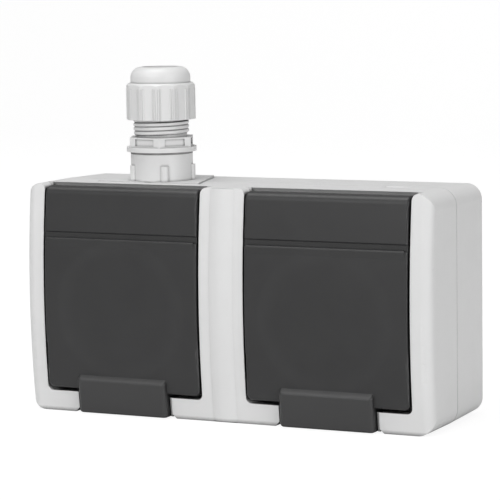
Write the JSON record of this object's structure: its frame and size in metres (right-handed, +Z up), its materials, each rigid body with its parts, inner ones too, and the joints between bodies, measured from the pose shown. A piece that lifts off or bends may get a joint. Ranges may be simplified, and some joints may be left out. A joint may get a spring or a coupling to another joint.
{
  "type": "weatherproof outdoor socket",
  "caption": "Weatherproof outdoor wall socket: bulged split enclosure, sprung hinged lids over round earthed wells, and a screw-down cable gland on top.",
  "frame": {"origin": "centre of the flat back face that lies on the wall", "axes": "+X to the right seen from the front, +Y into the wall, +Z up"},
  "size_m": [0.156, 0.052, 0.1227],
  "materials": {
    "grey_plastic": "fine matt",
    "lid_plastic": "satin",
    "gland_plastic": "satin",
    "insert_plastic": "satin",
    "rubber": "matt",
    "grey_rubber": "matt",
    "steel": "bright zinc",
    "brass": "bright"
  },
  "bodies": {
    "root": {"base_box": "grey_plastic", "front_cover": "grey_plastic", "cover_gasket": "rubber", "cover_screws": "steel", "carrier_screws": "steel", "terminal_screws": "steel", "centre_screws": "steel", "earth_bracket": "steel", "live_link": "brass", "neutral_link": "brass", "entry_sleeve": "gland_plastic", "gland_body": "gland_plastic", "gland_gasket": "grey_rubber", "gland_seal": "rubber", "hinge_pin_left": "steel", "lid_spring_left": "steel", "socket_well_left": "insert_plastic", "well_seal_left": "rubber", "contact_carrier_left": "insert_plastic", "live_contact_left": "brass", "neutral_contact_left": "brass", "hinge_pin_right": "steel", "lid_spring_right": "steel", "socket_well_right": "insert_plastic", "well_seal_right": "rubber", "contact_carrier_right": "insert_plastic", "live_contact_right": "brass", "neutral_contact_right": "brass"},
    "lid_left": {"lid_left": "lid_plastic", "lid_seal_left": "rubber"},
    "lid_right": {"lid_right": "lid_plastic", "lid_seal_right": "rubber"},
    "gland_ring": {"gland_ring": "gland_plastic"},
    "gland_nut": {"gland_nut": "gland_plastic"}
  },
  "joints": [
    {"name": "lid_left_hinge", "type": "hinge", "parent": "root", "child": "lid_left", "pos_m": [-0.0395, -0.0448, 0.037], "axis": [-1, 0, 0], "range_deg": [0, 110], "stiffness_Nm_per_rad": 0.006, "springref_deg": -28.65, "deforming": ["lid_spring_left"]},
    {"name": "lid_right_hinge", "type": "hinge", "parent": "root", "child": "lid_right", "pos_m": [0.0395, -0.0448, 0.037], "axis": [-1, 0, 0], "range_deg": [0, 110], "stiffness_Nm_per_rad": 0.006, "springref_deg": -28.65, "deforming": ["lid_spring_right"]},
    {"name": "gland_ring_slide", "type": "slide", "parent": "root", "child": "gland_ring", "axis": [0, 0, -1], "range_m": [-0.0015, 0.0045]},
    {"name": "gland_nut_turn", "type": "hinge", "parent": "gland_ring", "child": "gland_nut", "pos_m": [-0.0347, -0.026, 0.072], "axis": [0, 0, -1], "range_deg": [-360, 1080]}
  ],
  "couplings": [
    {"joint": "gland_ring_slide", "follows": "gland_nut_turn", "m_per_rad": 0.00023868}
  ]
}
